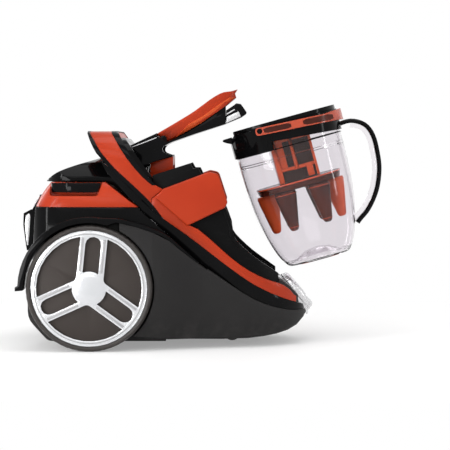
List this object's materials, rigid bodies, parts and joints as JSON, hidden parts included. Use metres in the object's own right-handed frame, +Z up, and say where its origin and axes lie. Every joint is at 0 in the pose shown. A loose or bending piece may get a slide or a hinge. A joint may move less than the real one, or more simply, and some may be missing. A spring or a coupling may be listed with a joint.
{
  "type": "canister vacuum cleaner",
  "caption": "Bagless canister vacuum with large rear wheels, front castor, carrying loop, hinged arm and a lift-out clear cyclonic dust cup.",
  "frame": {"origin": "middle of the footprint of the whole object with arm open and cup drawn out, on the floor", "axes": "+X to the nose and the hose inlet, +Y to the left side, +Z up"},
  "size_m": [0.5662, 0.304, 0.3998],
  "materials": {
    "matte_black": "fine grain",
    "gloss_black": "polished",
    "liner_black": "satin",
    "gloss_red": "satin gloss",
    "silver": "bright",
    "silver_plastic": "bright",
    "wheel_brown": "fine grain",
    "tyre": "matt",
    "steel": "turned",
    "clear_red": "see-through red",
    "smoked_red": "smoked",
    "clear": "clear polycarbonate",
    "felt": "pleated",
    "grey_plastic": "moulded"
  },
  "bodies": {
    "body": {"chassis": "matte_black", "side_shell_left": "matte_black", "side_stripe_left": "gloss_black", "side_band_left": "gloss_red", "side_panel_left": "gloss_red", "fender_left": "gloss_black", "side_shell_right": "matte_black", "side_stripe_right": "gloss_black", "side_band_right": "gloss_red", "side_panel_right": "gloss_red", "fender_right": "gloss_black", "rear_housing": "gloss_black", "rear_shoulder": "gloss_red", "top_cover": "gloss_black", "rear_grille": "gloss_black", "loop_cover": "gloss_red", "loop_core": "gloss_black", "bay_wall_left": "liner_black", "bay_wall_right": "liner_black", "bay_base": "liner_black", "filter_duct": "gloss_red", "motor_filter": "felt", "nose_block": "matte_black", "hose_inlet": "silver_plastic", "motor_can": "steel", "reel_frame": "matte_black", "outlet_filter": "felt", "axle_left": "steel", "axle_right": "steel", "arm_pin": "steel"},
    "wheel_left": {"tyre_left": "tyre", "wheel_left": "wheel_brown", "rim_left": "silver", "hub_cap_left": "silver"},
    "wheel_right": {"tyre_right": "tyre", "wheel_right": "wheel_brown", "rim_right": "silver", "hub_cap_right": "silver"},
    "castor": {"castor_fork": "matte_black"},
    "castor_roller": {"castor_wheel": "tyre"},
    "arm": {"bridge_arm": "gloss_black"},
    "lever": {"release_lever": "gloss_red"},
    "catch": {"tip_catch": "gloss_black"},
    "cup": {"jug": "clear", "jug_handle": "gloss_black", "cup_collar": "gloss_black", "cup_lid": "gloss_black", "cyclone_column": "clear_red", "cyclone_plate": "smoked_red", "cyclone_cone_1": "gloss_red", "cyclone_cone_2": "smoked_red", "cyclone_cone_3": "smoked_red", "cyclone_cone_4": "gloss_red", "cyclone_cone_5": "smoked_red", "cyclone_cone_6": "smoked_red"},
    "bail": {"bail_lever": "clear_red"},
    "power_button": {"power_pedal": "gloss_black"},
    "cord_button": {"cord_pedal": "gloss_black"},
    "motor_fan": {"fan": "grey_plastic"},
    "reel": {"cord_reel": "grey_plastic"}
  },
  "joints": [
    {"name": "wheel_left_spin", "type": "hinge", "parent": "body", "child": "wheel_left", "pos_m": [-0.17108, 0.135, 0.0955], "axis": [0, 1, 0], "continuous": true},
    {"name": "wheel_right_spin", "type": "hinge", "parent": "body", "child": "wheel_right", "pos_m": [-0.17108, -0.135, 0.0955], "axis": [0, 1, 0], "continuous": true},
    {"name": "castor_swivel", "type": "hinge", "parent": "body", "child": "castor", "pos_m": [0.05092, 0, 0.036], "axis": [0, 0, 1], "continuous": true},
    {"name": "castor_roll", "type": "hinge", "parent": "castor", "child": "castor_roller", "pos_m": [0.04492, 0, 0.014], "axis": [0, 1, 0], "continuous": true},
    {"name": "arm_hinge", "type": "hinge", "parent": "body", "child": "arm", "pos_m": [-0.12608, 0, 0.28], "axis": [0, -1, 0], "range_deg": [-6.8, 0]},
    {"name": "lever_hinge", "type": "hinge", "parent": "arm", "child": "lever", "pos_m": [-0.06308, 0, 0.322], "axis": [0, -1, 0], "range_deg": [-3, 0]},
    {"name": "catch_slide", "type": "slide", "parent": "arm", "child": "catch", "axis": [0.9405, 0, 0.3399], "range_m": [0, 0.003]},
    {"name": "cup_slide", "type": "slide", "parent": "body", "child": "cup", "axis": [0.9354, 0, 0.3535], "range_m": [-0.078, 0]},
    {"name": "bail_hinge", "type": "hinge", "parent": "cup", "child": "bail", "pos_m": [0.08662, 0, 0.33256], "axis": [0, -1, 0], "range_deg": [0, 70]},
    {"name": "power_press", "type": "slide", "parent": "body", "child": "power_button", "axis": [0, 0, -1], "range_m": [0, 0.004], "stiffness_N_per_m": 600, "springref_m": -0.002},
    {"name": "cord_press", "type": "slide", "parent": "body", "child": "cord_button", "axis": [0, 0, -1], "range_m": [0, 0.004], "stiffness_N_per_m": 600, "springref_m": -0.002},
    {"name": "fan_spin", "type": "hinge", "parent": "body", "child": "motor_fan", "pos_m": [-0.12108, 0, 0.082], "axis": [1, 0, 0], "continuous": true},
    {"name": "reel_spin", "type": "hinge", "parent": "body", "child": "reel", "pos_m": [-0.17708, 0, 0.166], "axis": [0, 0, 1], "continuous": true}
  ],
  "couplings": [
    {"joint": "catch_slide", "follows": "lever_hinge", "m_per_rad": -0.057}
  ]
}
